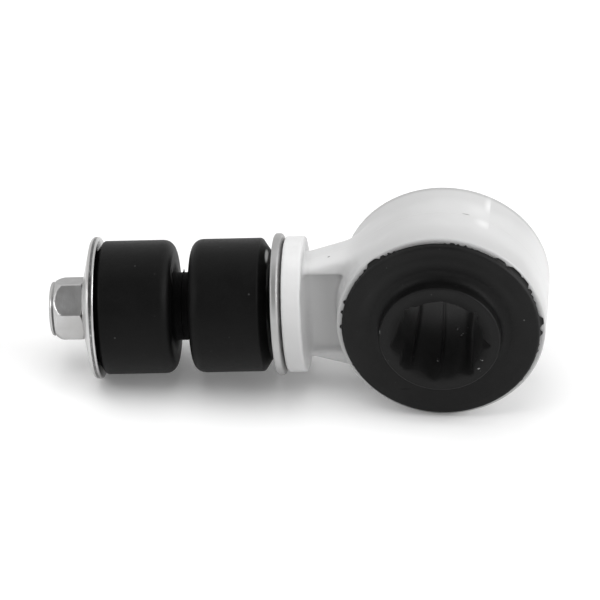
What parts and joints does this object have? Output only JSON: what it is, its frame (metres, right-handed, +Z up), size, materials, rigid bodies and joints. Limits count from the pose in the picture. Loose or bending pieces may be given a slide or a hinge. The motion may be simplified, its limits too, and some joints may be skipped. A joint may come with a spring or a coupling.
{
  "type": "stabilizer link",
  "caption": "Stabilizer link: moulded plastic arm with a rubber-bushed eye for a bar, and a threaded stud that holds rubber grommets between dished washers under a lock nut.",
  "frame": {"origin": "centre of the eye, on the axis of the bar bore", "axes": "+Y along the bar bore, -X along the stud towards the lock nut, +Z up"},
  "size_m": [0.1137, 0.0324, 0.0474],
  "materials": {
    "nylon": "milky white moulded nylon, satin",
    "rubber": "moulded black rubber, satin",
    "zinc_steel": "bright zinc plate",
    "locking_nylon": "smooth"
  },
  "bodies": {
    "link": {"link_body": "nylon", "stud": "zinc_steel"},
    "eye_bush": {"eye_bush": "rubber"},
    "inner_washer": {"inner_washer": "zinc_steel"},
    "inner_grommet": {"inner_grommet": "rubber"},
    "outer_grommet": {"outer_grommet": "rubber"},
    "outer_washer": {"outer_washer": "zinc_steel"},
    "lock_nut": {"lock_nut": "zinc_steel", "lock_ring": "locking_nylon"}
  },
  "joints": [
    {"name": "eye_twist", "type": "hinge", "parent": "link", "child": "eye_bush", "pos_m": [0, 0, 0], "axis": [0, 1, 0], "range_deg": [-20, 20], "stiffness_Nm_per_rad": 30},
    {"name": "nut_turn", "type": "hinge", "parent": "outer_washer", "child": "lock_nut", "pos_m": [-0.08215, 0, 0], "axis": [-1, 0, 0], "range_deg": [0, 1440]},
    {"name": "outer_washer_travel", "type": "slide", "parent": "link", "child": "outer_washer", "axis": [-1, 0, 0], "range_m": [0, 0.005]},
    {"name": "outer_grommet_travel", "type": "slide", "parent": "link", "child": "outer_grommet", "axis": [-1, 0, 0], "range_m": [0, 0.00375]},
    {"name": "inner_grommet_travel", "type": "slide", "parent": "link", "child": "inner_grommet", "axis": [-1, 0, 0], "range_m": [0, 0.0025]},
    {"name": "inner_washer_travel", "type": "slide", "parent": "link", "child": "inner_washer", "axis": [-1, 0, 0], "range_m": [0, 0.00125]}
  ],
  "couplings": [
    {"joint": "nut_turn", "follows": "outer_washer_travel", "rad_per_m": 5026.5},
    {"joint": "outer_grommet_travel", "follows": "outer_washer_travel", "ratio": 0.75},
    {"joint": "inner_grommet_travel", "follows": "outer_washer_travel", "ratio": 0.5},
    {"joint": "inner_washer_travel", "follows": "outer_washer_travel", "ratio": 0.25}
  ]
}
